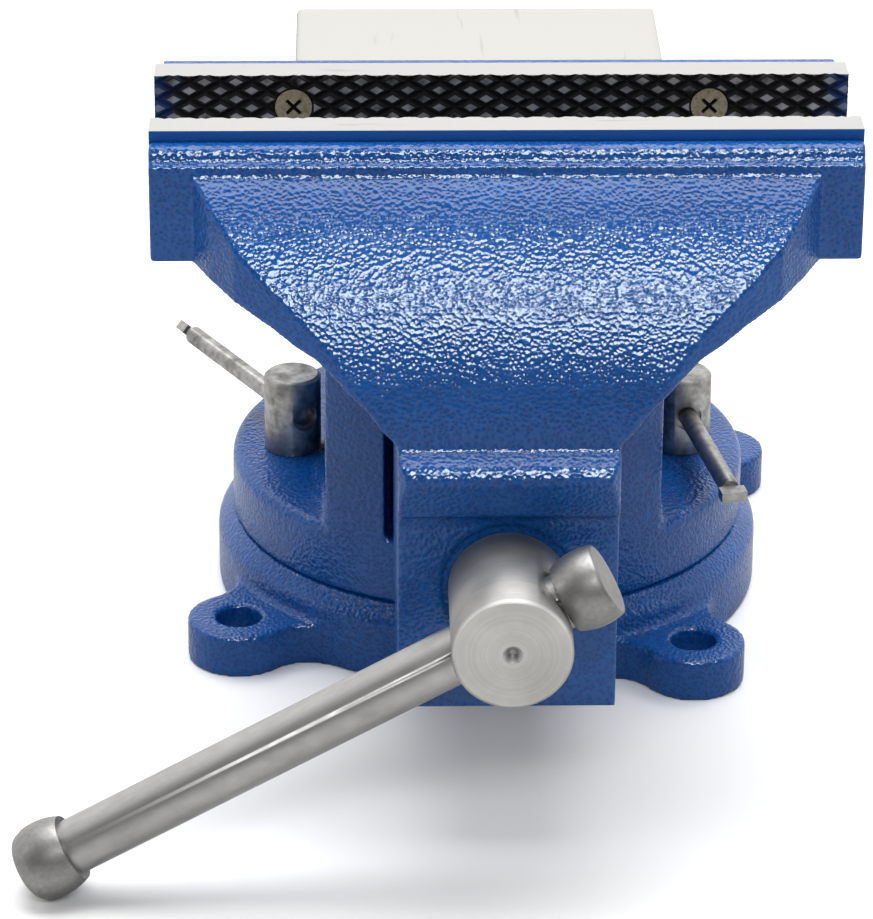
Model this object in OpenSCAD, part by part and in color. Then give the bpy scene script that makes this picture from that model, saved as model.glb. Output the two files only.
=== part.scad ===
// Swivel-base bench vise with a sliding front jaw.
// Axes: X right, Y to the back, Z up. The origin is the swivel axis at the bench top.

/* [Jaws] */
// width of both jaw plates
jaw_w = 200; // [150:1:250]
// height of the jaw plate tops above the bench
jaw_top = 204.5; // [190:0.5:215]
// height of one jaw plate
plate_h = 25; // [20:0.5:28]
// thickness of one jaw plate
plate_t = 10.4; // [8:0.2:14]
// opening between the serrated faces as drawn
jaw_gap = 33.4; // [5:0.1:60]
// serrated face of the fixed jaw, in front of the swivel axis
fixed_face = 95; // [85:1:110]
// spacing of the diamond pattern along the plate
knurl_pitch = 9; // [7:0.5:14]
// slope of the diamond grooves
knurl_angle = 30.5; // [25:0.5:40]
// depth of the diamond grooves
knurl_depth = 0.9; // [0.4:0.1:1.4]

/* [Ram and tunnel] */
// width of the sliding ram
ram_w = 62; // [54:1:68]
// underside of the ram above the bench
ram_bottom = 46; // [45.6:0.1:50]
// top of the ram above the bench
ram_top = 108; // [102:1:114]
// side wall thickness of the ram
ram_wall = 9.5; // [7:0.5:12]
// length of the ram behind the swivel axis
ram_rear = 122; // [90:1:140]
// front face of the ram, in front of the swivel axis
ram_front = 183.3; // [178:0.1:190]
// thickness of the closed ram front
front_wall = 18; // [14:0.5:24]
// gap on each side of the ram in its guides
guide_gap = 0.3; // [0.1:0.05:0.6]

/* [Screw and handle] */
// height of the screw axis above the bench
screw_z = 84.5; // [80:0.1:88]
// diameter of the screw
screw_d = 20; // [16:0.5:24]
// diameter of the screw head
head_d = 33.7; // [30:0.2:36]
// length of the screw head
head_l = 42.8; // [34:0.2:46]
// distance from the head end to the handle axis
handle_in = 16.8; // [12:0.2:20]
// diameter of the handle bar
bar_d = 16; // [12:0.5:18]
// length of the handle bar under its caps
bar_l = 176.4; // [140:0.2:200]
// tilt of the handle below horizontal
handle_tilt = 29.3; // [0:0.1:60]
// largest diameter of the handle caps
cap_d = 22.6; // [20:0.2:26]
// running gap, measured on the radius
run_gap = 0.06; // [0.03:0.01:0.1]

/* [Body and swivel] */
// radius of the turntable disc
disc_r = 81.5; // [78:0.5:90]
// top of the turntable disc
disc_top = 44.6; // [42:0.1:45.2]
// underside of the turntable disc
disc_low = 24.4; // [22:0.1:28]
// half width of the body column
column_x = 51.8; // [45:0.2:53]
// anvil width
anvil_w = 117; // [100:1:130]
// anvil height above the bench
anvil_z = 159.6; // [150:0.2:170]
// offset of the anvil to the left of the swivel axis
anvil_shift = 2.3; // [0:0.1:3]
// rear edge of the anvil behind the swivel axis
anvil_rear = 90; // [82:0.2:100]

/* [Base] */
// radius of the round base wall
base_r = 86.4; // [84:0.1:90]
// thickness of the mounting ears
ear_t = 13.5; // [10:0.5:16]
// radius of the bolt circle
bolt_r = 100; // [96:0.5:108]
// diameter of the bench bolt holes
bolt_hole = 14; // [11:0.5:15]
// outer radius of a mounting ear
ear_r = 16; // [14:0.5:18]
// fillet between an ear and the round wall
ear_fillet = 14; // [8:0.5:20]
// turn of the first ear from the X axis
ear_turn = 38; // [0:1:90]

/* [Swivel locks] */
// distance of each lock from the middle plane
lock_x = 62.2; // [61.8:0.1:64]
// distance of the locks in front of the swivel axis
lock_y = 3.2; // [0:0.1:8]
// diameter of a lock nut
lock_d = 18; // [16:0.1:18.4]
// top of a lock nut
lock_top = 70.1; // [66:0.1:74]
// diameter of a lock bolt
stud_d = 12; // [10:0.5:12]
// diameter of a lock bar
tommy_d = 6; // [5:0.2:6.6]
// length of a lock bar
tommy_l = 78; // [60:1:80]
// height of the lock bars
tommy_z = 57.5; // [56:0.1:60]
// roll of the pinched end of the left bar
roll_left = 135; // [0:5:180]
// roll of the pinched end of the right bar
roll_right = 90; // [0:5:90]
// direction of the left lock bar
turn_left = 119.4; // [90:0.2:180]
// direction of the right lock bar
turn_right = -80.2; // [-90:0.2:0]
// how far the left bar stands past the nut middle on its short side
short_left = 5; // [4:0.5:9]
// how far the right bar stands past the nut middle on its short side
short_right = 10; // [6:0.5:10]

/* [Hidden] */
$fn = 72;
e = 1;
moving_face = fixed_face + jaw_gap;
moving_back = moving_face + plate_t;
fixed_back = fixed_face - plate_t;
plate_low = jaw_top - plate_h;
lip_low = plate_low - 11.4;
cast_top = jaw_top - 3;
jaw_front = moving_back + 7.7;
tunnel_x = ram_w / 2 + guide_gap;
tunnel_low = ram_bottom - guide_gap;
tunnel_top = ram_top + guide_gap;
wall_back = ram_front - front_wall;
head_back = ram_front - 0.9;
head_face = head_back + head_l;
handle_y = head_face - handle_in;
stud_r = stud_d / 2;
slot_r = sqrt(lock_x * lock_x + lock_y * lock_y);
screw_x = 60;
screw_drop = 9.7;
nut_front = 60;
nut_back = 20;
part_z = disc_low - 0.2;
slot_low = 5.5;
slot_high = 14.5;

// points of an arc, centre c, radius r, from angle a0 to a1 in n steps
function arc(c, r, a0, a1, n) =
    [for (i = [0:n]) c + r * [cos(a0 + (a1 - a0) * i / n), sin(a0 + (a1 - a0) * i / n)]];

// side profile drawn as [distance to the front, height], swept along X
module along_x(w) {
    translate([-w / 2, 0, 0])
        rotate([90, 0, -90])
            mirror([0, 0, 1])
                linear_extrude(w) children();
}

// front view drawn as [x, height], swept from y0 to y1
module along_y(y0, y1) {
    translate([0, y1, 0])
        rotate([90, 0, 0])
            linear_extrude(y1 - y0) children();
}

// rod with its axis pointing to the back
module rod_y(d, y0, y1, z = 0, x = 0) {
    translate([x, y1, z])
        rotate([90, 0, 0])
            cylinder(d = d, h = y1 - y0);
}

// ---------------------------------------------------------------- base

// outline of one mounting ear with its fillets, pointing along X
module ear_plan() {
    reach = base_r + ear_fillet;
    near = ear_r + ear_fillet;
    cx = (reach * reach + bolt_r * bolt_r - near * near) / (2 * bolt_r);
    cy = sqrt(reach * reach - cx * cx);
    tx = base_r * cx / reach;
    ty = base_r * cy / reach;
    ex = bolt_r + ear_r * (cx - bolt_r) / near;
    ey = ear_r * cy / near;
    translate([bolt_r, 0]) circle(r = ear_r);
    difference() {
        polygon([[60, 0], [tx, -ty], [cx, -cy], [ex, -ey], [bolt_r, 0],
                 [ex, ey], [cx, cy], [tx, ty]]);
        translate([cx, cy]) circle(r = ear_fillet);
        translate([cx, -cy]) circle(r = ear_fillet);
    }
}

// round base with four ears and a circular T-slot for the lock bolts
module swivel_base() {
    color("royalblue")
    difference() {
        union() {
            rotate_extrude($fn = 120)
                polygon(concat([[0, 0], [base_r - 0.5, 0], [base_r, 0.6]],
                    arc([base_r - 5.5, part_z - 7], 5.5, 0, 60, 8),
                    [[disc_r, part_z], [0, part_z]]));
            for (k = [0:3])
                rotate([0, 0, ear_turn + 90 * k])
                    linear_extrude(ear_t) ear_plan();
        }
        for (k = [0:3])
            rotate([0, 0, ear_turn + 90 * k])
                translate([bolt_r, 0, -e])
                    cylinder(d = bolt_hole, h = ear_t + 2 * e, $fn = 48);
        // T-slot
        rotate_extrude($fn = 96)
            translate([slot_r - 10.6, slot_low]) square([21.2, slot_high - slot_low]);
        rotate_extrude($fn = 96)
            translate([slot_r - stud_r - 0.6, slot_high - e])
                square([stud_d + 1.2, part_z - slot_high + 2 * e]);
        // pocket where the bolt heads are loaded
        translate([0, slot_r, slot_low]) cylinder(r = 10.6, h = part_z, $fn = 48);
        // pivot bore and the recess for its head
        translate([0, 0, -e]) cylinder(d = 16 + 2 * run_gap, h = 40, $fn = 64);
        translate([0, 0, -e]) cylinder(d = 33, h = 11 + e, $fn = 64);
    }
}

// pivot bolt that carries the turntable
module pivot_bolt() {
    color("dimgray")
    difference() {
        union() {
            translate([0, 0, 2]) cylinder(d = 27, h = 6.4, $fn = 48);
            translate([0, 0, 8.4]) cylinder(d = 16, h = 32);
        }
        translate([0, 0, 1]) cylinder(d = 12, h = 5, $fn = 6);
    }
}

// washer between the pivot bolt head and the base
module pivot_washer() {
    color("silver")
    difference() {
        translate([0, 0, 8.5]) cylinder(d = 31, h = 2.3);
        cylinder(d = 16.6, h = 20);
    }
}

// ---------------------------------------------------------------- body

// front outline of a jaw: wide at the plates, narrow at the column
module jaw_outline(w, low) {
    h = lip_low - low;
    polygon([[-low_x(w), low], [-w / 2 + 44, low + 0.42 * h], [-w / 2 + 31, low + 0.66 * h],
             [-w / 2 + 18, low + 0.86 * h], [-w / 2 + 8, low + 0.96 * h], [-w / 2, lip_low],
             [-w / 2, jaw_top], [w / 2, jaw_top], [w / 2, lip_low],
             [w / 2 - 8, low + 0.96 * h], [w / 2 - 18, low + 0.86 * h],
             [w / 2 - 31, low + 0.66 * h], [w / 2 - 44, low + 0.42 * h], [low_x(w), low]]);
}
function low_x(w) = min(column_x, w / 2 - 46);

// fixed jaw, swept across and trimmed to its outline
module fixed_jaw() {
    intersection() {
        along_x(jaw_w)
            polygon(concat([[fixed_back, plate_low], [fixed_face - 0.4, plate_low],
                [fixed_face - 0.4, lip_low], [fixed_face - 12, lip_low - 20],
                [fixed_face - 17, ram_top + 4], [20, ram_top + 4], [20, anvil_z - 2],
                [46, anvil_z - 2]],
                arc([46, anvil_z + 8], 10, -80, -20, 5),
                arc([fixed_back - 9.5, cast_top - 6], 6, 160, 90, 6),
                [[fixed_back, cast_top]]));
        along_y(-fixed_face - e, 0) jaw_outline(jaw_w - 4, ram_top + 4);
    }
}

// turntable, column, anvil and fixed jaw in one casting
module vise_body() {
    color("royalblue")
    difference() {
        union() {
            rotate_extrude($fn = 120)
                polygon(concat([[0, disc_low], [disc_r - 0.8, disc_low], [disc_r, disc_low + 0.8]],
                    arc([disc_r - 3, disc_top - 3], 3, 0, 90, 5), [[0, disc_top]]));
            intersection() {
                translate([0, 0, disc_low + 4]) cylinder(r = disc_r, h = anvil_z - 16 - disc_low, $fn = 120);
                translate([-column_x, -disc_r, 0])
                    cube([2 * column_x, 2 * disc_r, anvil_z - 4]);
            }
            // anvil with a sloped underside, a little left of the middle
            translate([-anvil_shift, 0, 0]) intersection() {
                along_x(anvil_w)
                    polygon([[60, anvil_z - 36], [-60, anvil_z - 36], [-anvil_rear, anvil_z - 18],
                             [-anvil_rear, anvil_z - 1], [-anvil_rear + 1, anvil_z], [60, anvil_z]]);
                linear_extrude(anvil_z + e)
                    polygon(concat([[-anvil_w / 2, -60]],
                        arc([-anvil_w / 2 + 2.5, anvil_rear - 2.5], 2.5, 180, 90, 5),
                        arc([anvil_w / 2 - 2.5, anvil_rear - 2.5], 2.5, 90, 0, 5),
                        [[anvil_w / 2, -60]]));
            }
            fixed_jaw();
        }
        // ram tunnel with a wide mouth and a relieved middle
        translate([-tunnel_x, -disc_r - e, tunnel_low])
            cube([2 * tunnel_x, 2 * disc_r + 20, tunnel_top - tunnel_low]);
        translate([-tunnel_x - 2.1, -disc_r - e, tunnel_low])
            cube([2 * tunnel_x + 4.2, 16 + e, tunnel_top + 3 - tunnel_low]);
        translate([-tunnel_x - 3, -46, tunnel_low + 10])
            cube([2 * tunnel_x + 6, 92, tunnel_top - tunnel_low - 6]);
        // threaded holes for the plate screws
        for (s = [-1, 1])
            rod_y(6, -fixed_back - e, -fixed_back + 12, jaw_top - screw_drop, s * screw_x);
        // lock bolts, pivot and nut bolt
        for (s = [-1, 1])
            translate([s * lock_x, -lock_y, 0]) cylinder(d = stud_d + 0.2, h = 60, $fn = 48);
        cylinder(d = 16, h = 40.4);
        translate([0, -(nut_front + nut_back) / 2, 0]) cylinder(d = 12.2, h = 60, $fn = 48);
        translate([0, -(nut_front + nut_back) / 2, 0]) cylinder(d = 21, h = 33, $fn = 48);
    }
}

// ---------------------------------------------------------------- jaw plates

// hardened plate with a diamond face looking along +Y, back at y = 0
module jaw_plate() {
    step = knurl_pitch * sin(knurl_angle);
    count = ceil((jaw_w * sin(knurl_angle) + plate_h * cos(knurl_angle)) / step / 2);
    difference() {
        translate([-jaw_w / 2, 0, plate_low]) cube([jaw_w, plate_t, plate_h]);
        for (a = [-knurl_angle, knurl_angle])
            for (k = [-count:count])
                translate([0, plate_t, jaw_top - plate_h / 2])
                    rotate([0, a, 0])
                        translate([0, 0, k * step])
                            rotate([45, 0, 0])
                                cube([jaw_w * 1.4, knurl_depth * 1.414, knurl_depth * 1.414], center = true);
        for (s = [-1, 1]) {
            rod_y(6.6, -e, plate_t + e, jaw_top - screw_drop, s * screw_x);
            translate([s * screw_x, plate_t + 0.5, jaw_top - screw_drop])
                rotate([90, 0, 0]) cylinder(d1 = 13.2, d2 = 6.6, h = 3.3);
        }
    }
}

module fixed_jaw_plate() {
    color("darkslategray")
    translate([0, -fixed_back, 0]) mirror([0, 1, 0]) jaw_plate();
}

module moving_jaw_plate() {
    color("darkslategray")
    translate([0, -moving_back, 0]) jaw_plate();
}

// countersunk cross-head screw, head end at y = 0, pointing to +Y
module plate_screw() {
    difference() {
        union() {
            translate([0, 2.6, 0]) rotate([90, 0, 0]) cylinder(d1 = 6, d2 = 10.6, h = 2.3);
            rod_y(10.6, 0, 0.3);
            rod_y(6, 2.6, 16);
        }
        for (a = [45, 135])
            rotate([0, a, 0])
                translate([-2.9, -e, -0.55]) cube([5.8, 2 + e, 1.1]);
    }
}

module fixed_screw(s) {
    color("darkkhaki")
    translate([s * screw_x, -fixed_face + 0.3, jaw_top - screw_drop]) plate_screw();
}

module moving_screw(s) {
    color("darkkhaki")
    translate([s * screw_x, -moving_face - 0.3, jaw_top - screw_drop])
        mirror([0, 1, 0]) plate_screw();
}

module fixed_screw_left() { fixed_screw(-1); }
module fixed_screw_right() { fixed_screw(1); }
module moving_screw_left() { moving_screw(-1); }
module moving_screw_right() { moving_screw(1); }

// ---------------------------------------------------------------- moving jaw

neck_top = jaw_top - 10.7;
neck_low = ram_top + 17.6;
neck_rise = neck_top - neck_low;
neck_run = ram_front - jaw_front;
neck_half = atan(neck_run / neck_rise);
neck_r = neck_rise / sin(2 * neck_half);
plan_k = (jaw_w / 2 - 12) / 88;
ram_h = ram_w / 2;

// plan of the neck: a blunt nose from the head to the ram front
module neck_plan() {
    half = [[88, 0], [83.3, 0.217], [76.1, 0.465], [68.3, 0.614], [59.2, 0.747],
            [52.7, 0.829], [48.2, 0.883], [44.3, 0.938], [37.1, 0.981]];
    right = [for (p = half) [p[0] * plan_k, -jaw_front - neck_run * p[1]]];
    left = [for (i = [len(half) - 1:-1:0]) [-right[i][0], right[i][1]]];
    polygon(concat([[-88 * plan_k, -moving_face - 9]], [[88 * plan_k, -moving_face - 9]], right,
                   [[ram_h, -ram_front], [-ram_h, -ram_front]], left));
}

// front view of the neck: its lower edge climbs from the ram to the head
module neck_view() {
    lift = (lip_low - ram_top) / 61.5;
    half = [[31, 20], [35.2, 24.5], [39.1, 30], [43.7, 34.5], [47.6, 38.5], [53.4, 44],
            [59.3, 47], [66.1, 51.5], [74, 55.3], [81, 58.5], [88, 61.4]];
    right = [for (p = half) [p[0] * plan_k, ram_top + p[1] * lift]];
    left = [for (i = [len(half) - 1:-1:0]) [-right[i][0], right[i][1]]];
    polygon(concat([[-ram_h, ram_top - 6], [ram_h, ram_top - 6]], right,
                   [[88 * plan_k, jaw_top], [-88 * plan_k, jaw_top]], left));
}

// moving jaw casting: head, neck, closed ram front and hollow ram
module moving_jaw() {
    color("royalblue")
    difference() {
        union() {
            // head with a rounded front shoulder above a narrow bead
            along_x(jaw_w)
                polygon(concat([[moving_back, cast_top], [moving_back, plate_low],
                    [moving_face + 0.6, plate_low], [moving_face + 0.6, lip_low],
                    [jaw_front, lip_low]],
                    arc([jaw_front - 0.9, cast_top - 5.4], 0.9, 0, 90, 4),
                    [[jaw_front - 1.9, cast_top - 4.4]],
                    arc([jaw_front - 4.9, cast_top - 3], 3, 0, 80, 5)));
            // neck
            intersection() {
                along_x(jaw_w)
                    polygon(concat([[moving_back + 1, neck_top], [moving_back + 1, plate_low - 1],
                        [moving_face + 0.6, plate_low - 1], [moving_face + 0.6, lip_low],
                        [moving_face + 10, lip_low - 30], [moving_face + 13, ram_top - 6],
                        [ram_front, ram_top - 6]],
                        arc([ram_front - neck_r, neck_low], neck_r, 0, 2 * neck_half, 20)));
                linear_extrude(jaw_top) neck_plan();
                along_y(-ram_front - 20, -moving_face + e) neck_view();
            }
            // lip and closed front of the ram
            intersection() {
                along_x(ram_w)
                    polygon(concat([[wall_back, ram_bottom], [ram_front, ram_bottom]],
                        arc([ram_front + 6, ram_top - 5.5], 6, 180, 110, 6),
                        arc([ram_front + 2, ram_top + 11.8], 5.3, -35, 75, 8),
                        [[ram_front - 0.4, neck_low + 1], [wall_back, neck_low]]));
                translate([0, 0, ram_bottom])
                    linear_extrude(100)
                        polygon([[-ram_h, 0], [-ram_h, -ram_front - 4], [-ram_h + 3, -ram_front - 8],
                                 [ram_h - 3, -ram_front - 8], [ram_h, -ram_front - 4], [ram_h, 0]]);
            }
            // ram
            translate([-ram_h, -ram_front + 2, ram_bottom])
                cube([ram_w, ram_front + ram_rear - 2, ram_top - ram_bottom]);
        }
        // open channel under the ram
        translate([-ram_h + ram_wall, -wall_back, ram_bottom - e])
            cube([ram_w - 2 * ram_wall, wall_back + ram_rear + e, ram_top - ram_bottom - 8 + e]);
        // screw bore with a spot face for the head
        rod_y(screw_d + 2 * run_gap, -ram_front - e, -wall_back + e, screw_z);
        rod_y(head_d + 5, -ram_front - 2, -ram_front + 1, screw_z);
        for (s = [-1, 1])
            rod_y(6, -moving_back - 6, -moving_back + e, jaw_top - screw_drop, s * screw_x);
    }
}

// ---------------------------------------------------------------- screw

// screw with its round head, cross bore and centre mark
module spindle() {
    color("silver")
    translate([0, 0, screw_z])
    difference() {
        union() {
            rotate([-90, 0, 0])
                rotate_extrude()
                    polygon([[0, -head_face], [head_d / 2 - 1, -head_face],
                             [head_d / 2, -head_face + 1], [head_d / 2, -head_back - 1],
                             [head_d / 2 - 1, -head_back], [screw_d / 2, -head_back],
                             [screw_d / 2, ram_rear + 1.5], [screw_d / 2 - 1.5, ram_rear + 3],
                             [0, ram_rear + 3]]);
        }
        rotate([0, -90 - handle_tilt, 0])
            translate([0, -handle_y, -head_d])
                cylinder(d = bar_d + 2 * run_gap, h = 2 * head_d);
        translate([0, -head_face - 0.01, 0])
            rotate([-90, 0, 0]) cylinder(d1 = 5.6, d2 = 1.6, h = 2, $fn = 36);
        translate([0, -wall_back + 10, 0]) cylinder(d = 4, h = 60, center = true, $fn = 32);
    }
}

// spring washer between the ram front and the collar
module spring_washer() {
    color("dimgray")
    difference() {
        rod_y(29, -wall_back + 0.1, -wall_back + 2.1, screw_z);
        rod_y(screw_d + 0.6, -wall_back - e, -wall_back + 4, screw_z);
    }
}

// collar that pulls the ram back when the screw is opened
module spindle_collar() {
    color("gray")
    difference() {
        rod_y(29, -wall_back + 2.3, -wall_back + 16, screw_z);
        rod_y(screw_d, -wall_back - e, -wall_back + 20, screw_z);
        translate([0, -wall_back + 10, screw_z]) cylinder(d = 4, h = 60, center = true, $fn = 32);
    }
}

// pin through the collar and the screw
module collar_pin() {
    color("silver")
    translate([0, -wall_back + 10, screw_z]) cylinder(d = 4, h = 28, center = true, $fn = 32);
}

// handle parts are drawn along +X from the screw axis, then tilted
module on_handle() {
    translate([0, -handle_y, screw_z])
        rotate([0, -handle_tilt, 0])
            rotate([0, 90, 0]) children();
}
cap_near = head_d / 2 + 0.5;

module handle_bar() {
    color("silver")
    on_handle() translate([0, 0, cap_near + 9 - bar_l]) cylinder(d = bar_d, h = bar_l);
}

// cap next to the screw head: narrow inside, wide flat end
module handle_cap_right() {
    color("silver")
    on_handle()
        translate([0, 0, cap_near])
            difference() {
                rotate_extrude()
                    polygon(concat([[0, 0]], arc([cap_d / 2 - 18, 7.4], 18, -24.3, 17, 9),
                        [[cap_d / 2 - 1.4, 13], [0, 13]]));
                translate([0, 0, -e]) cylinder(d = bar_d, h = 9 + e);
            }
}

// cap at the far end: flat rim inside, domed outside
module handle_cap_left() {
    color("silver")
    on_handle()
        translate([0, 0, cap_near + 18 - bar_l])
            mirror([0, 0, 1])
                difference() {
                    rotate_extrude()
                        polygon(concat([[0, 0]], arc([cap_d / 2 - 18, 7.4], 18, -24.3, 12, 8),
                            arc([cap_d / 2 - 5, 11.3], 4.2, 10, 80, 6), [[0, 15.5]]));
                    translate([0, 0, -e]) cylinder(d = bar_d, h = 9 + e);
                }
}

// nut block bolted into the body under the ram
module spindle_nut() {
    color("goldenrod")
    difference() {
        union() {
            translate([-19, -nut_front, tunnel_low]) cube([38, nut_front - nut_back, screw_z - tunnel_low]);
            rod_y(28, -nut_front, -nut_back, screw_z);
        }
        rod_y(screw_d + 2 * run_gap, -nut_front - e, -nut_back + e, screw_z);
        translate([0, -(nut_front + nut_back) / 2, tunnel_low - e]) cylinder(d = 12, h = 22 + e, $fn = 48);
    }
}

// bolt that holds the nut block, put in from under the turntable
module nut_bolt() {
    color("dimgray")
    translate([0, -(nut_front + nut_back) / 2, 0])
        difference() {
            union() {
                translate([0, 0, 25.6]) cylinder(d = 18, h = 7.3, $fn = 48);
                translate([0, 0, 32.9]) cylinder(d = 12, h = 33, $fn = 48);
            }
            translate([0, 0, 24]) cylinder(d = 10, h = 6, $fn = 6);
        }
}

// ---------------------------------------------------------------- swivel locks

// T-head bolt running in the slot of the base
module lock_bolt(s) {
    color("dimgray")
    translate([s * lock_x, -lock_y, 0]) {
        translate([0, 0, slot_high - 7.4]) cylinder(d = 20, h = 7.2, $fn = 48);
        translate([0, 0, slot_high - 0.4]) cylinder(d = stud_d, h = 37.8, $fn = 48);
    }
}

// round nut with a cross hole for its bar
module lock_nut(s, turn) {
    color("slategray")
    translate([s * lock_x, -lock_y, 0])
        difference() {
            rotate_extrude()
                polygon([[stud_r, disc_top + 0.2], [lock_d / 2, disc_top + 0.2],
                         [lock_d / 2, lock_top - 1], [lock_d / 2 - 1, lock_top], [0, lock_top],
                         [0, 52.5], [stud_r, 52.5]]);
            translate([0, 0, tommy_z])
                rotate([0, 90, turn]) {
                    translate([0, 0, -lock_d]) cylinder(d = tommy_d + 2 * run_gap, h = 2 * lock_d, $fn = 48);
                    for (m = [0, 1])
                        mirror([0, 0, m])
                            translate([0, 0, lock_d / 2 - 1.8]) cylinder(d = 8.4, h = 6, $fn = 48);
                }
        }
}

// bar with one pinched end
module lock_bar(s, turn, short, roll) {
    color("silver")
    translate([s * lock_x, -lock_y, tommy_z])
        rotate([0, 90, turn])
            rotate([0, 0, roll]) translate([0, 0, -short])
                difference() {
                    union() {
                        cylinder(d = tommy_d, h = tommy_l, $fn = 48);
                        translate([-4, -2.4, tommy_l - 5]) cube([8, 4.8, 5]);
                    }
                    for (m = [-1, 1])
                        translate([-6, m * 3.1 - 1.5, tommy_l - 5.6]) cube([12, 3, 8]);
                }
}

module lock_bolt_left() { lock_bolt(-1); }
module lock_bolt_right() { lock_bolt(1); }
module lock_nut_left() { lock_nut(-1, turn_left); }
module lock_nut_right() { lock_nut(1, turn_right); }
module lock_bar_left() { lock_bar(-1, turn_left, short_left, roll_left); }
module lock_bar_right() { lock_bar(1, turn_right, short_right, roll_right); }

swivel_base();
pivot_bolt();
pivot_washer();
vise_body();
fixed_jaw_plate();
fixed_screw_left();
fixed_screw_right();
moving_jaw();
moving_jaw_plate();
moving_screw_left();
moving_screw_right();
spindle();
spring_washer();
spindle_collar();
collar_pin();
handle_bar();
handle_cap_left();
handle_cap_right();
spindle_nut();
nut_bolt();
lock_bolt_left();
lock_bolt_right();
lock_nut_left();
lock_nut_right();
lock_bar_left();
lock_bar_right();
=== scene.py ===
# Swivel-base bench vise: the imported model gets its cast, painted, ground and turned surfaces.
import math

import bmesh
import bpy
from mathutils import Matrix, Vector


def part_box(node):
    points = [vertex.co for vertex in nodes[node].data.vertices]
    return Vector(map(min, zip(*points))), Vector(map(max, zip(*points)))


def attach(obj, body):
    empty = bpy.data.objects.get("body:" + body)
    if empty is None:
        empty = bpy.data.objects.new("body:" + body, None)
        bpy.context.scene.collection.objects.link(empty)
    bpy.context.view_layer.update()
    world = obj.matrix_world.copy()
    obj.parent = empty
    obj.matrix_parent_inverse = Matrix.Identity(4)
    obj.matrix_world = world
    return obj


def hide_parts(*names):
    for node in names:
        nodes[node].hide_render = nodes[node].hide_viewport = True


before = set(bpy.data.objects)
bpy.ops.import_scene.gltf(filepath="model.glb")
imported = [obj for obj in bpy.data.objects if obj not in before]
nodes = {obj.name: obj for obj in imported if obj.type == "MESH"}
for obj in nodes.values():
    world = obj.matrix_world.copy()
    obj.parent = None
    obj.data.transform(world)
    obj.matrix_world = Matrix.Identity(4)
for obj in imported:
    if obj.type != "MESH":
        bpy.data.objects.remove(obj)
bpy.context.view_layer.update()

# ---- Camera ----
# A long lens from the front, a little left of the screw axis and well above it.
camera = bpy.data.objects.new("camera", bpy.data.cameras.new("camera"))
bpy.context.scene.collection.objects.link(camera)
bpy.context.scene.camera = camera
pitch, yaw, roll = math.radians(25.17), math.radians(1.26), math.radians(-0.28)
look = Vector((math.sin(yaw) * math.cos(pitch), math.cos(yaw) * math.cos(pitch), -math.sin(pitch)))
level = Vector((math.cos(yaw), -math.sin(yaw), 0))
down = look.cross(level)
right = level * math.cos(roll) + down * math.sin(roll)
up = -(down * math.cos(roll) - level * math.sin(roll))
stand = (-0.04563, -1.33783, 0.66667)
camera.matrix_world = Matrix.Translation(stand) @ Matrix((right, up, -look)).transposed().to_4x4()
camera.data.sensor_width = 36
camera.data.lens = 180.1
camera.data.clip_end = 20
bpy.context.scene.view_settings.view_transform = "Standard"

# ---- Swivel base ----
# A round grey-iron casting with four bench ears, sand cast with soft edges,
# sprayed in glossy blue hammer paint that dries into small rounded pools.


def soft_casting(name, node, grain, passes, keep):
    """Skin of a CAD casting with the rounded edges and fillets of a sand mould."""
    skin = bpy.data.objects.new(name, nodes[node].data.copy())
    bpy.context.scene.collection.objects.link(skin)
    for kind, settings in (
        ("WELD", {"merge_threshold": 0.00002}),
        ("REMESH", {"mode": "VOXEL", "voxel_size": grain, "use_smooth_shade": True}),
        ("SMOOTH", {"factor": 0.5, "iterations": passes}),
        ("DECIMATE", {"ratio": keep}),
    ):
        step = skin.modifiers.new(kind.lower(), kind)
        for key, value in settings.items():
            setattr(step, key, value)
    bpy.context.view_layer.update()
    made = bpy.data.meshes.new_from_object(skin.evaluated_get(bpy.context.evaluated_depsgraph_get()))
    skin.modifiers.clear()
    skin.data = made
    skin.data.materials.clear()
    skin.data.polygons.foreach_set("use_smooth", [True] * len(made.polygons))
    return skin


def put(tree, kind, *links, **settings):
    """Adds a node, sets its values and joins sockets given as (output, input)."""
    n = tree.nodes.new(kind)
    for key, value in settings.items():
        if hasattr(n, key):
            setattr(n, key, value)
        else:
            n.inputs[key.replace("_", " ")].default_value = value
    for source, target in links:
        tree.links.new(source, n.inputs[target])
    return n


def new_group(name, inputs, outputs):
    group = bpy.data.node_groups.new(name, "ShaderNodeTree")
    for label, kind, value in inputs:
        socket = group.interface.new_socket(label, in_out="INPUT", socket_type=kind)
        if value is not None:
            socket.default_value = value
    for label, kind in outputs:
        group.interface.new_socket(label, in_out="OUTPUT", socket_type=kind)
    return group, group.nodes.new("NodeGroupInput"), group.nodes.new("NodeGroupOutput")


def place(tree, group, *links, **values):
    n = tree.nodes.new("ShaderNodeGroup")
    n.node_tree = group
    for key, value in values.items():
        n.inputs[key.replace("_", " ")].default_value = value
    for source, target in links:
        tree.links.new(source, n.inputs[target])
    return n


def new_finish(name, **constants):
    """A material with its shader, object coordinates and one bump node."""
    m = bpy.data.materials.new(name)
    m.use_nodes = True
    tree = m.node_tree
    shader = tree.nodes["Principled BSDF"]
    for key, value in constants.items():
        shader.inputs[key.replace("_", " ")].default_value = value
    where = put(tree, "ShaderNodeTexCoord").outputs["Object"]
    bump = put(tree, "ShaderNodeBump")
    tree.links.new(bump.outputs["Normal"], shader.inputs["Normal"])
    return m, tree, shader, where, bump


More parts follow.
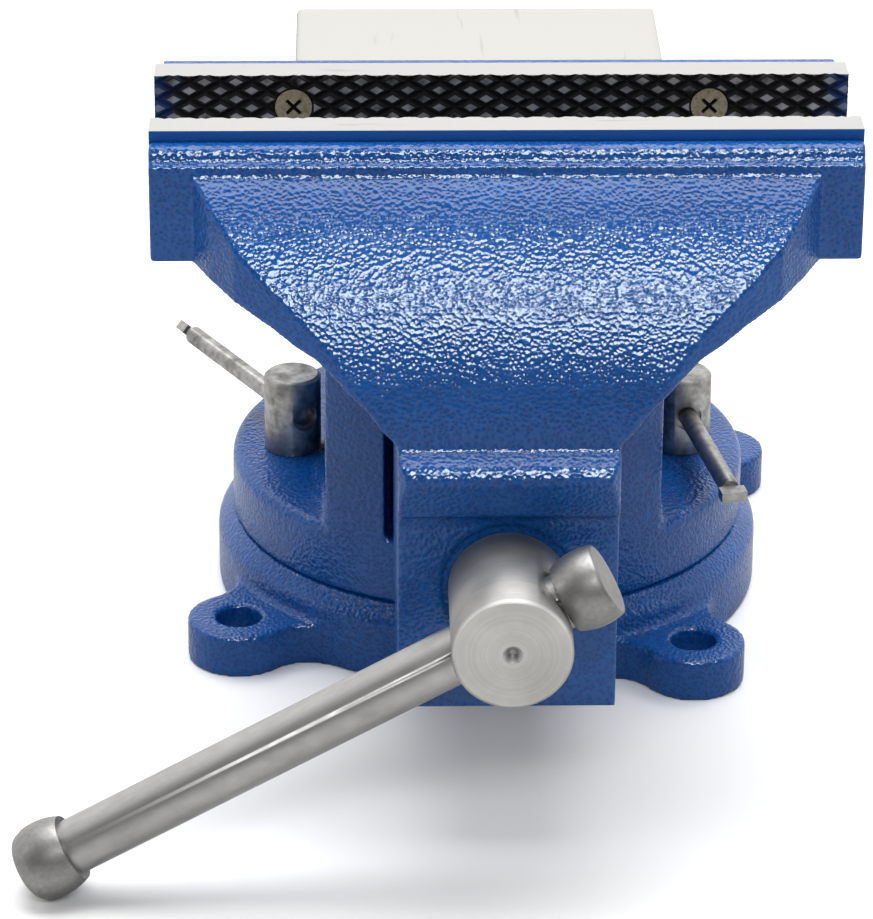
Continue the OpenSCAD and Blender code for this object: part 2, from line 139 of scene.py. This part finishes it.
# pools of hammer paint: rounded cells of uneven size with fine orange peel on them
hammer_pools, gin, gout = new_group(
    "hammer pools",
    [("Vector", "NodeSocketVector", None), ("Pools per metre", "NodeSocketFloat", 820.0)],
    [("Height", "NodeSocketFloat"), ("Shade", "NodeSocketFloat")])
wander = put(hammer_pools, "ShaderNodeTexNoise", (gin.outputs["Vector"], "Vector"), Scale=260.0, Detail=1.0)
push = put(hammer_pools, "ShaderNodeVectorMath", (wander.outputs["Color"], 0), operation="SCALE")
push.inputs["Scale"].default_value = 0.0009
moved = put(hammer_pools, "ShaderNodeVectorMath", (gin.outputs["Vector"], 0), (push.outputs[0], 1),
            operation="ADD")
cells = put(hammer_pools, "ShaderNodeTexVoronoi", (moved.outputs[0], "Vector"),
            (gin.outputs["Pools per metre"], "Scale"), feature="SMOOTH_F1", Smoothness=0.25)
swell = put(hammer_pools, "ShaderNodeTexNoise", (gin.outputs["Vector"], "Vector"), Scale=980.0, Detail=2.0)
ridges = put(hammer_pools, "ShaderNodeMath", (cells.outputs["Distance"], 0), operation="MULTIPLY")
ridges.inputs[1].default_value = 1.25
mixed = put(hammer_pools, "ShaderNodeMath", (swell.outputs["Fac"], 0), (ridges.outputs[0], 2),
            operation="MULTIPLY_ADD")
mixed.inputs[1].default_value = 0.38
hammer_pools.links.new(mixed.outputs[0], gout.inputs["Height"])
# Shade: the raised parts of the pools get a lighter blue as a painted highlight and the hollows a deeper
# blue as painted shade, on top of a slow random tone.
broad = put(hammer_pools, "ShaderNodeTexNoise", (gin.outputs["Vector"], "Vector"), Scale=38.0, Detail=3.0)
crest = put(hammer_pools, "ShaderNodeMapRange", (mixed.outputs[0], "Value"))
crest.inputs["From Min"].default_value = 0.50
crest.inputs["From Max"].default_value = 1.00
shade = put(hammer_pools, "ShaderNodeMath", (crest.outputs[0], 0), (broad.outputs["Fac"], 2),
            operation="MULTIPLY_ADD")
shade.inputs[1].default_value = 0.60
shade = put(hammer_pools, "ShaderNodeMath", (shade.outputs[0], 0), operation="SUBTRACT")
shade.inputs[1].default_value = 0.25
hammer_pools.links.new(shade.outputs[0], gout.inputs["Shade"])

# PAINT_LIGHT is the lighter blue of the painted highlight on raised pool parts and PAINT_DEEP the deeper
# blue of the painted shade in the hollows; the slow random tone also moves between them. On the plates
# PAINT_LIGHT is the plain blue paint.
PAINT_DEEP = (0.002, 0.044, 0.195, 1)
PAINT_LIGHT = (0.006, 0.088, 0.340, 1)


def hammer_paint(name):
    m, tree, shader, where, bump = new_finish(name, Roughness=0.16, Specular_IOR_Level=0.40)
    pools = place(tree, hammer_pools, (where, "Vector"))
    # the Shade output of the pools mixes painted highlight and painted shade into the blue
    tone = put(tree, "ShaderNodeMix", data_type="RGBA")
    tree.links.new(pools.outputs["Shade"], tone.inputs[0])
    tone.inputs[6].default_value = PAINT_DEEP
    tone.inputs[7].default_value = PAINT_LIGHT
    tree.links.new(tone.outputs[2], shader.inputs["Base Color"])
    tree.links.new(pools.outputs["Height"], bump.inputs["Height"])
    bump.inputs["Strength"].default_value = 0.30
    bump.inputs["Distance"].default_value = 0.0008
    return m, tree, shader, where, bump, tone


base_skin = soft_casting("base_casting", "swivel_base", 0.0010, 3, 0.3)
base_skin.data.materials.append(hammer_paint("hammer paint on the base")[0])
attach(base_skin, "base")
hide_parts("swivel_base")

# ---- Fixed body ----
# Turntable, column, rear jaw and anvil are one casting in the same paint.
# The anvil is surface ground after painting, so its top is bare bright iron.

ground_lines, gin, gout = new_group(
    "ground lines",
    [("Vector", "NodeSocketVector", None), ("Tone", "NodeSocketFloat", 0.5)],
    [("Height", "NodeSocketFloat"), ("Tone", "NodeSocketFloat"), ("Pits", "NodeSocketFloat")])
streaks = put(ground_lines, "ShaderNodeTexNoise", (gin.outputs["Vector"], "Vector"), Scale=1.0, Detail=4.0)
specks = put(ground_lines, "ShaderNodeTexNoise", (gin.outputs["Vector"], "Vector"), Scale=0.12, Detail=2.0)
pits = put(ground_lines, "ShaderNodeMapRange", (specks.outputs["Fac"], "Value"))
pits.inputs["From Min"].default_value = 0.68
pits.inputs["From Max"].default_value = 0.76
blend = put(ground_lines, "ShaderNodeMath", (streaks.outputs["Fac"], 0), (gin.outputs["Tone"], 1),
            operation="MULTIPLY")
ground_lines.links.new(streaks.outputs["Fac"], gout.inputs["Height"])
ground_lines.links.new(blend.outputs[0], gout.inputs["Tone"])
ground_lines.links.new(pits.outputs[0], gout.inputs["Pits"])

body_skin = soft_casting("body_casting", "vise_body", 0.0010, 2, 0.25)
m, tree, shader, where, bump, tone = hammer_paint("hammer paint with a ground anvil")
anvil_low, anvil_high, anvil_front = 0.1588, 0.1610, -0.044
axes = put(tree, "ShaderNodeSeparateXYZ", (where, 0))
facing = put(tree, "ShaderNodeSeparateXYZ", (put(tree, "ShaderNodeNewGeometry").outputs["Normal"], 0))
ground = put(tree, "ShaderNodeMapRange", (facing.outputs["Z"], "Value"))
ground.inputs["From Min"].default_value = 0.30
ground.inputs["From Max"].default_value = 0.50
above = put(tree, "ShaderNodeMath", (axes.outputs["Z"], 0), operation="GREATER_THAN")
above.inputs[1].default_value = anvil_low
under = put(tree, "ShaderNodeMath", (axes.outputs["Z"], 0), operation="LESS_THAN")
under.inputs[1].default_value = anvil_high
behind = put(tree, "ShaderNodeMath", (axes.outputs["Y"], 0), operation="GREATER_THAN")
behind.inputs[1].default_value = anvil_front
band = put(tree, "ShaderNodeMath", (above.outputs[0], 0), (under.outputs[0], 1), operation="MULTIPLY")
band = put(tree, "ShaderNodeMath", (band.outputs[0], 0), (behind.outputs[0], 1), operation="MULTIPLY")
bare = put(tree, "ShaderNodeMath", (band.outputs[0], 0), (ground.outputs[0], 1),
           operation="MULTIPLY").outputs[0]
stretched = put(tree, "ShaderNodeVectorMath", (where, 0), operation="MULTIPLY")
stretched.inputs[1].default_value = (2600, 180, 180)
lines = place(tree, ground_lines, (stretched.outputs[0], "Vector"), Tone=0.3)
iron = put(tree, "ShaderNodeMix", (lines.outputs["Pits"], 0), data_type="RGBA")
iron.inputs[6].default_value = (0.47, 0.458, 0.43, 1)
iron.inputs[7].default_value = (0.36, 0.345, 0.315, 1)
skin_colour = put(tree, "ShaderNodeMix", (bare, 0), (tone.outputs[2], 6), (iron.outputs[2], 7),
                  data_type="RGBA")
tree.links.new(skin_colour.outputs[2], shader.inputs["Base Color"])
for label, paint_value, iron_value in (("Metallic", 0.0, 0.35), ("Roughness", 0.15, 0.55)):
    pick = put(tree, "ShaderNodeMapRange", (bare, "Value"))
    pick.inputs["To Min"].default_value = paint_value
    pick.inputs["To Max"].default_value = iron_value
    tree.links.new(pick.outputs[0], shader.inputs[label])
height = put(tree, "ShaderNodeMix", (bare, 0), data_type="FLOAT")
tree.links.new(bump.inputs["Height"].links[0].from_socket, height.inputs[2])
fine = put(tree, "ShaderNodeMath", (lines.outputs["Height"], 0), operation="MULTIPLY")
fine.inputs[1].default_value = 0.06
tree.links.new(fine.outputs[0], height.inputs[3])
tree.links.new(height.outputs[0], bump.inputs["Height"])
body_skin.data.materials.append(m)
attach(body_skin, "body")
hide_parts("vise_body")

# ---- Moving jaw ----
# Jaw head, sloped neck, lip and hollow ram are one sand casting in the same paint.
# The ram slides in a tunnel through the fixed body, and the screw runs inside it.
jaw_skin = soft_casting("jaw_casting", "moving_jaw", 0.0007, 2, 0.2)
jaw_skin.data.materials.append(hammer_paint("hammer paint on the moving jaw")[0])
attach(jaw_skin, "jaw")
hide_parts("moving_jaw")

# ---- Jaw plates ----
# Hardened steel bars with milled diamonds, blackened by heat treatment.
# The top edge is ground bright and the diamond tips are worn grey.


def plate_finish(name, face_y, inward):
    m, tree, shader, where, bump = new_finish(name)
    crest_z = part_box("fixed_jaw_plate")[1].z
    painted_from = 0.0098
    axes = put(tree, "ShaderNodeSeparateXYZ", (where, 0))
    depth = put(tree, "ShaderNodeMath", (axes.outputs["Y"], 0), operation="SUBTRACT")
    depth.inputs[1].default_value = face_y
    depth = put(tree, "ShaderNodeMath", (depth.outputs[0], 0), operation="MULTIPLY")
    depth.inputs[1].default_value = inward
    tip = put(tree, "ShaderNodeMapRange", (depth.outputs[0], "Value"))
    tip.inputs["From Min"].default_value = 0.00028
    tip.inputs["From Max"].default_value = 0.00004
    worn = put(tree, "ShaderNodeTexNoise", (where, "Vector"), Scale=160.0, Detail=3.0)
    wear = put(tree, "ShaderNodeMapRange", (worn.outputs["Fac"], "Value"))
    wear.inputs["From Min"].default_value = 0.30
    wear.inputs["From Max"].default_value = 0.60
    # two crossing sets of milled grooves: direction across them, spacing, and first crossing below the top
    across_x, across_z, pitch, first = 0.5075, 0.8616, 0.004568, 0.0125
    apart = []
    for lean in (-across_x, across_x):
        along = put(tree, "ShaderNodeVectorMath", (where, 0), operation="DOT_PRODUCT")
        along.inputs[1].default_value = (lean / pitch, 0, across_z / pitch)
        along = put(tree, "ShaderNodeMath", (along.outputs["Value"], 0), operation="SUBTRACT")
        along.inputs[1].default_value = across_z * (crest_z - first) / pitch - 0.5
        along = put(tree, "ShaderNodeMath", (along.outputs[0], 0), operation="FRACT")
        along = put(tree, "ShaderNodeMath", (along.outputs[0], 0), operation="SUBTRACT")
        along.inputs[1].default_value = 0.5
        apart.append(put(tree, "ShaderNodeMath", (along.outputs[0], 0), operation="ABSOLUTE").outputs[0])
    middle = put(tree, "ShaderNodeMath", (apart[0], 0), (apart[1], 1), operation="MINIMUM")
    flat = put(tree, "ShaderNodeMapRange", (middle.outputs[0], "Value"))
    flat.inputs["From Min"].default_value = 0.25
    flat.inputs["From Max"].default_value = 0.31
    tip = put(tree, "ShaderNodeMath", (tip.outputs[0], 0), (flat.outputs[0], 1), operation="MULTIPLY")
    shine = put(tree, "ShaderNodeMath", (tip.outputs[0], 0), (wear.outputs[0], 1), operation="MULTIPLY")
    dark = put(tree, "ShaderNodeMix", (shine.outputs[0], 0), data_type="RGBA")
    dark.inputs[6].default_value = (0.010, 0.010, 0.012, 1)
    dark.inputs[7].default_value = (0.42, 0.42, 0.43, 1)
    side = put(tree, "ShaderNodeMath", (axes.outputs["X"], 0), operation="ABSOLUTE")
    wander = put(tree, "ShaderNodeMath", (worn.outputs["Fac"], 0), (side.outputs[0], 2),
                 operation="MULTIPLY_ADD")
    wander.inputs[1].default_value = 0.016
    over = put(tree, "ShaderNodeMapRange", (wander.outputs[0], "Value"))
    over.inputs["From Min"].default_value = 0.101
    over.inputs["From Max"].default_value = 0.107
    over.inputs["To Max"].default_value = 0.6
    sprayed = put(tree, "ShaderNodeMix", (over.outputs[0], 0), (dark.outputs[2], 6), data_type="RGBA")
    sprayed.inputs[7].default_value = (0.012, 0.06, 0.24, 1)
    rear = put(tree, "ShaderNodeMath", (depth.outputs[0], 0), operation="GREATER_THAN")
    rear.inputs[1].default_value = painted_from
    sprayed = put(tree, "ShaderNodeMix", (rear.outputs[0], 0), (sprayed.outputs[2], 6), data_type="RGBA")
    sprayed.inputs[7].default_value = PAINT_LIGHT
    upward = put(tree, "ShaderNodeSeparateXYZ", (put(tree, "ShaderNodeNewGeometry").outputs["Normal"], 0))
    top = put(tree, "ShaderNodeMapRange", (upward.outputs["Z"], "Value"))
    top.inputs["From Min"].default_value = 0.9
    top.inputs["From Max"].default_value = 0.97
    crest = put(tree, "ShaderNodeMath", (axes.outputs["Z"], 0), operation="GREATER_THAN")
    crest.inputs[1].default_value = crest_z - 0.0003
    top = put(tree, "ShaderNodeMath", (top.outputs[0], 0), (crest.outputs[0], 1),
              operation="MULTIPLY").outputs[0]
    stretched = put(tree, "ShaderNodeVectorMath", (where, 0), operation="MULTIPLY")
    stretched.inputs[1].default_value = (220, 2400, 220)
    lines = place(tree, ground_lines, (stretched.outputs[0], "Vector"), Tone=0.3)
    steel = put(tree, "ShaderNodeMix", (lines.outputs["Pits"], 0), data_type="RGBA")
    steel.inputs[6].default_value = (0.43, 0.427, 0.415, 1)
    steel.inputs[7].default_value = (0.30, 0.29, 0.28, 1)
    colour = put(tree, "ShaderNodeMix", (top, 0), (sprayed.outputs[2], 6), (steel.outputs[2], 7),
                 data_type="RGBA")
    tree.links.new(colour.outputs[2], shader.inputs["Base Color"])
    gloss = put(tree, "ShaderNodeMapRange", (top, "Value"))
    gloss.inputs["To Min"].default_value = 0.48
    gloss.inputs["To Max"].default_value = 0.55
    tree.links.new(gloss.outputs[0], shader.inputs["Roughness"])
    bareness = put(tree, "ShaderNodeMapRange", (top, "Value"))
    bareness.inputs["To Min"].default_value = 0.6
    bareness.inputs["To Max"].default_value = 0.35
    tree.links.new(bareness.outputs[0], shader.inputs["Metallic"])
    tree.links.new(lines.outputs["Height"], bump.inputs["Height"])
    bump.inputs["Strength"].default_value = 0.12
    bump.inputs["Distance"].default_value = 0.0003
    return m


fixed_face, moving_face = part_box("fixed_jaw_plate")[0].y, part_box("moving_jaw_plate")[1].y
for node, finish in (("fixed_jaw_plate", plate_finish("serrated fixed plate", fixed_face, 1)),
                     ("moving_jaw_plate", plate_finish("serrated moving plate", moving_face, -1))):
    nodes[node].data.materials.clear()
    nodes[node].data.materials.append(finish)

# ---- Plate screws ----
# Two countersunk cross-head screws hold each plate in its jaw.
# They are plated with yellow zinc, and their crosses are coloured near black.


def metal(name, light, dark, rough, spots, scale=(1, 1, 1), bump_depth=0.0002, metallic=1.0, **constants):
    """Bare or plated metal: marks drawn out by scale, with slow cloudy variation over them."""
    m, tree, shader, where, bump = new_finish(name, Metallic=metallic, **constants)
    stretched = put(tree, "ShaderNodeVectorMath", (where, 0), operation="MULTIPLY")
    stretched.inputs[1].default_value = scale
    lines = place(tree, ground_lines, (stretched.outputs[0], "Vector"), Tone=0.6)
    cloud = put(tree, "ShaderNodeTexNoise", (where, "Vector"), Scale=spots, Detail=5.0, Roughness=0.62)
    amount = put(tree, "ShaderNodeMath", (cloud.outputs["Fac"], 0), (lines.outputs["Tone"], 1),
                 operation="ADD")
    spread = put(tree, "ShaderNodeMapRange", (amount.outputs[0], "Value"))
    spread.inputs["From Min"].default_value = 0.55
    spread.inputs["From Max"].default_value = 1.05
    colour = put(tree, "ShaderNodeMix", (spread.outputs[0], 0), data_type="RGBA")
    colour.inputs[6].default_value = dark
    colour.inputs[7].default_value = light
    tree.links.new(colour.outputs[2], shader.inputs["Base Color"])
    gloss = put(tree, "ShaderNodeMapRange", (spread.outputs[0], "Value"))
    gloss.inputs["To Min"].default_value = rough + 0.09
    gloss.inputs["To Max"].default_value = rough - 0.05
    tree.links.new(gloss.outputs[0], shader.inputs["Roughness"])
    tree.links.new(lines.outputs["Height"], bump.inputs["Height"])
    bump.inputs["Strength"].default_value = 0.25
    bump.inputs["Distance"].default_value = bump_depth
    return m


def dress(finish, slot, *names):
    for name in names:
        nodes[name].data.materials.clear()
        nodes[name].data.materials.append(finish)


for side, face, inward in (("fixed", 0, 1), ("moving", 1, -1)):
    screws = (side + "_screw_left", side + "_screw_right")
    face_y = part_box(screws[0])[face].y
    zinc = metal("yellow zinc " + side, (0.82, 0.72, 0.50, 1), (0.34, 0.27, 0.16, 1), 0.30, 500.0,
                 (900, 900, 900), metallic=0.6)
    tree = zinc.node_tree
    shader = tree.nodes["Principled BSDF"]
    axes = put(tree, "ShaderNodeSeparateXYZ", (put(tree, "ShaderNodeTexCoord").outputs["Object"], 0))
    # the crosses, sunk below the head's face, are coloured near black
    sunk = put(tree, "ShaderNodeMapRange", (axes.outputs["Y"], "Value"))
    sunk.inputs["From Min"].default_value = face_y + 0.0002 * inward
    sunk.inputs["From Max"].default_value = face_y + 0.0008 * inward
    cross_dark = put(tree, "ShaderNodeMix", (sunk.outputs[0], 0), data_type="RGBA")
    tree.links.new(shader.inputs["Base Color"].links[0].from_socket, cross_dark.inputs[6])
    cross_dark.inputs[7].default_value = (0.035, 0.022, 0.012, 1)
    tree.links.new(cross_dark.outputs[2], shader.inputs["Base Color"])
    dress(zinc, "screw_zinc", *screws)

# ---- Screw ----
# Turned steel bar with a cross-bored round head and a trapezoidal thread.
# The head keeps its fine turning rings and a centre mark.
screw = bpy.data.objects.new("lead_screw", nodes["spindle"].data.copy())
bpy.context.scene.collection.objects.link(screw)
low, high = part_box("spindle")
screw_r = 0.010
screw_z = (low.z + high.z) / 2
thread_from = -0.148
parts = bmesh.new()
parts.from_mesh(screw.data)
bmesh.ops.remove_doubles(parts, verts=parts.verts, dist=0.00001)
bmesh.ops.bisect_plane(parts, geom=parts.verts[:] + parts.edges[:] + parts.faces[:],
                       plane_co=(0, thread_from, 0),
                       plane_no=(0, 1, 0), clear_outer=True)
lead, around = 0.005, 32
# one turn of the thread: how far along the turn, and how far below the crest
flank = [(0.0, -0.0024), (0.16, -0.0024), (0.34, -0.00003), (0.66, -0.00003), (0.84, -0.0024)]
turns = int((high.y - 0.002 - thread_from) / lead) - 1
rows = []
for t in range(turns):
    for part, drop in flank:
        rows.append([parts.verts.new((
            (screw_r + drop) * math.sin(2 * math.pi * i / around),
            thread_from + lead * (t + part + i / around),
            screw_z + (screw_r + drop) * math.cos(2 * math.pi * i / around))) for i in range(around)])
for a, b in zip(rows, rows[1:]):
    for i in range(around - 1):
        parts.faces.new((a[i], a[i + 1], b[i + 1], b[i]))
for k in range(len(rows) - len(flank) - 1):
    parts.faces.new((rows[k][-1], rows[k + len(flank)][0], rows[k + len(flank) + 1][0], rows[k + 1][-1]))
root_drop, chamfer = 0.00242, 0.0006
core_r = screw_r - root_drop
rims = []
for y in (thread_from - 0.0002, high.y - chamfer, high.y):
    r = core_r - (chamfer if y == high.y else 0)
    rims.append([parts.verts.new((r * math.sin(2 * math.pi * i / around), y,
                                  screw_z + r * math.cos(2 * math.pi * i / around))) for i in range(around)])
for a, b in zip(rims, rims[1:]):
    for i in range(around):
        parts.faces.new((a[i], a[(i + 1) % around], b[(i + 1) % around], b[i]))
parts.faces.new(rims[2])
bmesh.ops.recalc_face_normals(parts, faces=parts.faces)
parts.to_mesh(screw.data)
parts.free()
screw.data.materials.clear()

m, tree, shader, where, bump = new_finish("turned steel", Metallic=0.75)
axes = put(tree, "ShaderNodeSeparateXYZ", (where, 0))
lift = put(tree, "ShaderNodeMath", (axes.outputs["Z"], 0), operation="SUBTRACT")
lift.inputs[1].default_value = screw_z
flat_point = put(tree, "ShaderNodeCombineXYZ", (axes.outputs["X"], "X"), (lift.outputs[0], "Y"))
reach = put(tree, "ShaderNodeVectorMath", (flat_point.outputs[0], 0), operation="LENGTH")
rings = put(tree, "ShaderNodeCombineXYZ", (reach.outputs["Value"], "X"), (axes.outputs["Y"], "Y"))
rings = put(tree, "ShaderNodeVectorMath", (rings.outputs[0], 0), operation="SCALE")
rings.inputs["Scale"].default_value = 2600
lines = place(tree, ground_lines, (rings.outputs[0], "Vector"), Tone=0.6)
cloud = put(tree, "ShaderNodeTexNoise", (where, "Vector"), Scale=70.0, Detail=4.0)
amount = put(tree, "ShaderNodeMath", (cloud.outputs["Fac"], 0), (lines.outputs["Tone"], 1), operation="ADD")
spread = put(tree, "ShaderNodeMapRange", (amount.outputs[0], "Value"))
spread.inputs["From Min"].default_value = 0.5
spread.inputs["From Max"].default_value = 1.1
colour = put(tree, "ShaderNodeMix", (spread.outputs[0], 0), data_type="RGBA")
colour.inputs[6].default_value = (0.24, 0.235, 0.23, 1)
colour.inputs[7].default_value = (0.38, 0.372, 0.36, 1)
# The end face is coloured a lighter steel than the barrel, a painted reflection of the pale floor in front.
faced = put(tree, "ShaderNodeMapRange", (axes.outputs["Y"], "Value"))
faced.inputs["From Min"].default_value = low.y + 0.0012
faced.inputs["From Max"].default_value = low.y + 0.0004
bright = put(tree, "ShaderNodeMix", (faced.outputs[0], 0), (colour.outputs[2], 6), data_type="RGBA")
face_painted_reflection = put(tree, "ShaderNodeMix", (spread.outputs[0], 0), data_type="RGBA")
face_painted_reflection.inputs[6].default_value = (0.44, 0.43, 0.41, 1)
face_painted_reflection.inputs[7].default_value = (0.68, 0.665, 0.64, 1)
tree.links.new(face_painted_reflection.outputs[2], bright.inputs[7])
tree.links.new(bright.outputs[2], shader.inputs["Base Color"])
gloss = put(tree, "ShaderNodeMapRange", (cloud.outputs["Fac"], "Value"))
gloss.inputs["To Min"].default_value = 0.44
gloss.inputs["To Max"].default_value = 0.54
tree.links.new(gloss.outputs[0], shader.inputs["Roughness"])
tree.links.new(lines.outputs["Height"], bump.inputs["Height"])
bump.inputs["Strength"].default_value = 0.3
bump.inputs["Distance"].default_value = 0.00012
screw.data.materials.append(m)
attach(screw, "screw")
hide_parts("spindle")

# ---- Handle ----
# A drawn steel bar that slides through the head of the screw to give leverage.
# A turned cap is pressed on each end, so it can't fall out.
handle_steel = metal("drawn handle steel", (0.50, 0.492, 0.48, 1), (0.38, 0.373, 0.365, 1), 0.40, 60.0,
                     (160, 900, 160), 0.00012)
cap_steel = metal("turned cap steel", (0.38, 0.375, 0.365, 1), (0.26, 0.255, 0.245, 1), 0.42, 40.0,
                  (700, 700, 700), 0.00012)
dress(handle_steel, "turned_steel", "handle_bar")
dress(cap_steel, "turned_steel", "handle_cap_left", "handle_cap_right", "collar_pin")

# ---- Collar, spring washer, nut and bolts ----
# Hidden working parts under the ram and the turntable. The collar and washer hold the
# screw in the jaw, the nut is bolted in the body, and the pivot bolt holds the body down.
# The steel ones are dark with oil, and the nut is machined iron.
dark_steel = metal("oiled dark steel", (0.30, 0.29, 0.28, 1), (0.09, 0.085, 0.08, 1), 0.42, 150.0,
                   (500, 500, 500))
dress(dark_steel, "dark_steel", "spring_washer", "spindle_collar", "pivot_bolt", "pivot_washer", "nut_bolt",
      "lock_bolt_left", "lock_bolt_right")
dress(metal("machined iron", (0.40, 0.38, 0.34, 1), (0.20, 0.185, 0.16, 1), 0.5, 120.0, (900, 300, 300)),
      "nut_iron", "spindle_nut")

# ---- Swivel locks ----
# Two round nuts clamp the turntable to the base, each turned by a thin bar through it.
# Zinc over rough-sawn steel, blotchy and dull in places.
lock_zinc = metal("blotchy zinc", (0.52, 0.51, 0.495, 1), (0.17, 0.165, 0.155, 1), 0.42, 130.0,
                  (420, 420, 420), 0.0003)
dress(lock_zinc, "lock_steel", "lock_nut_left", "lock_nut_right", "lock_bar_left", "lock_bar_right")

# welded seams on the visible machined pieces, and small worn edges on the locks
worn_edges = {"lock_nut_left": 0.0003, "lock_nut_right": 0.0003, "lock_bar_left": 0.0004,
              "lock_bar_right": 0.0004}
for name in ("fixed_jaw_plate", "moving_jaw_plate", "fixed_screw_left", "fixed_screw_right",
             "moving_screw_left", "moving_screw_right", "handle_bar", "handle_cap_left",
             "handle_cap_right", *worn_edges):
    piece = nodes[name]
    weld = piece.modifiers.new("weld", "WELD")
    weld.merge_threshold = 0.00001
    if name in worn_edges:
        edge = piece.modifiers.new("edge", "BEVEL")
        edge.width = worn_edges[name]
        edge.segments = 2
        edge.limit_method = "ANGLE"
        edge.angle_limit = math.radians(40)

# ---- Floor and light ----
# A pale flat floor under a key light and a glint strip above the camera,
# with a broad light overhead and a weak one at each side.


def lamp(name, place_at, aim, size, power, shade=(1, 1, 1)):
    light = bpy.data.lights.new(name, "AREA")
    light.shape = "RECTANGLE"
    light.size, light.size_y = size
    light.energy = power
    light.color = shade
    holder = bpy.data.objects.new(name, light)
    bpy.context.scene.collection.objects.link(holder)
    holder.location = place_at
    holder.rotation_euler = (Vector(aim) - Vector(place_at)).to_track_quat("-Z", "Y").to_euler()
    return holder


sweep = bpy.data.meshes.new("floor")
sweep.from_pydata([(-6, -6, 0), (6, -6, 0), (6, 6, 0), (-6, 6, 0)], [], [(0, 1, 2, 3)])
floor = bpy.data.objects.new("floor", sweep)
bpy.context.scene.collection.objects.link(floor)
m = bpy.data.materials.new("white sweep")
m.use_nodes = True
tree = m.node_tree
tree.nodes.clear()
seen = put(tree, "ShaderNodeLightPath")
lit = put(tree, "ShaderNodeMapRange", (seen.outputs["Is Camera Ray"], "Value"))
lit.inputs["To Min"].default_value = 0.6
lit.inputs["To Max"].default_value = 1.0
paper = put(tree, "ShaderNodeBsdfDiffuse", (lit.outputs[0], "Color"))
put(tree, "ShaderNodeOutputMaterial", (paper.outputs[0], "Surface"))
floor.data.materials.append(m)

world = bpy.data.worlds.new("studio")
bpy.context.scene.world = world
world.use_nodes = True
tree = world.node_tree
# bright sweep behind the vise, dark room behind the camera
aim = put(tree, "ShaderNodeSeparateXYZ", (put(tree, "ShaderNodeTexCoord").outputs["Generated"], 0))
room = put(tree, "ShaderNodeMapRange", (aim.outputs["Y"], "Value"), interpolation_type="SMOOTHSTEP")
room.inputs["From Min"].default_value = -0.35
room.inputs["From Max"].default_value = 0.55
room.inputs["To Min"].default_value = 0.10
room.inputs["To Max"].default_value = 1.2
seen = put(tree, "ShaderNodeLightPath")
glow = put(tree, "ShaderNodeMath", (room.outputs[0], 0), (seen.outputs["Is Camera Ray"], 1),
           operation="MAXIMUM")
tree.links.new(glow.outputs[0], tree.nodes["Background"].inputs["Strength"])
tree.nodes["Background"].inputs["Color"].default_value = (1, 1, 1, 1)
above_camera, jaw_head = (0.15, -1.75, 1.45), (0, -0.17, 0.16)
lamp("key above the camera", above_camera, jaw_head, (1.0, 0.24), 12)
# the glint strip shows only as gloss on the painted castings
glint = lamp("glint strip", above_camera, jaw_head, (1.4, 0.75), 95, (0.86, 0.98, 1.0))
glint.visible_diffuse = False
painted = bpy.data.collections.new("painted castings")
for skin in (base_skin, body_skin, jaw_skin):
    painted.objects.link(skin)
glint.light_linking.receiver_collection = painted
lamp("overhead", (0.0, 0.15, 1.7), (0, -0.05, 0.1), (1.6, 1.2), 31)
lamp("left wall", (-1.5, -0.4, 0.7), (0, -0.1, 0.1), (0.5, 0.9), 3)
lamp("right wall", (1.5, -0.3, 0.7), (0, -0.1, 0.1), (0.5, 0.9), 3)
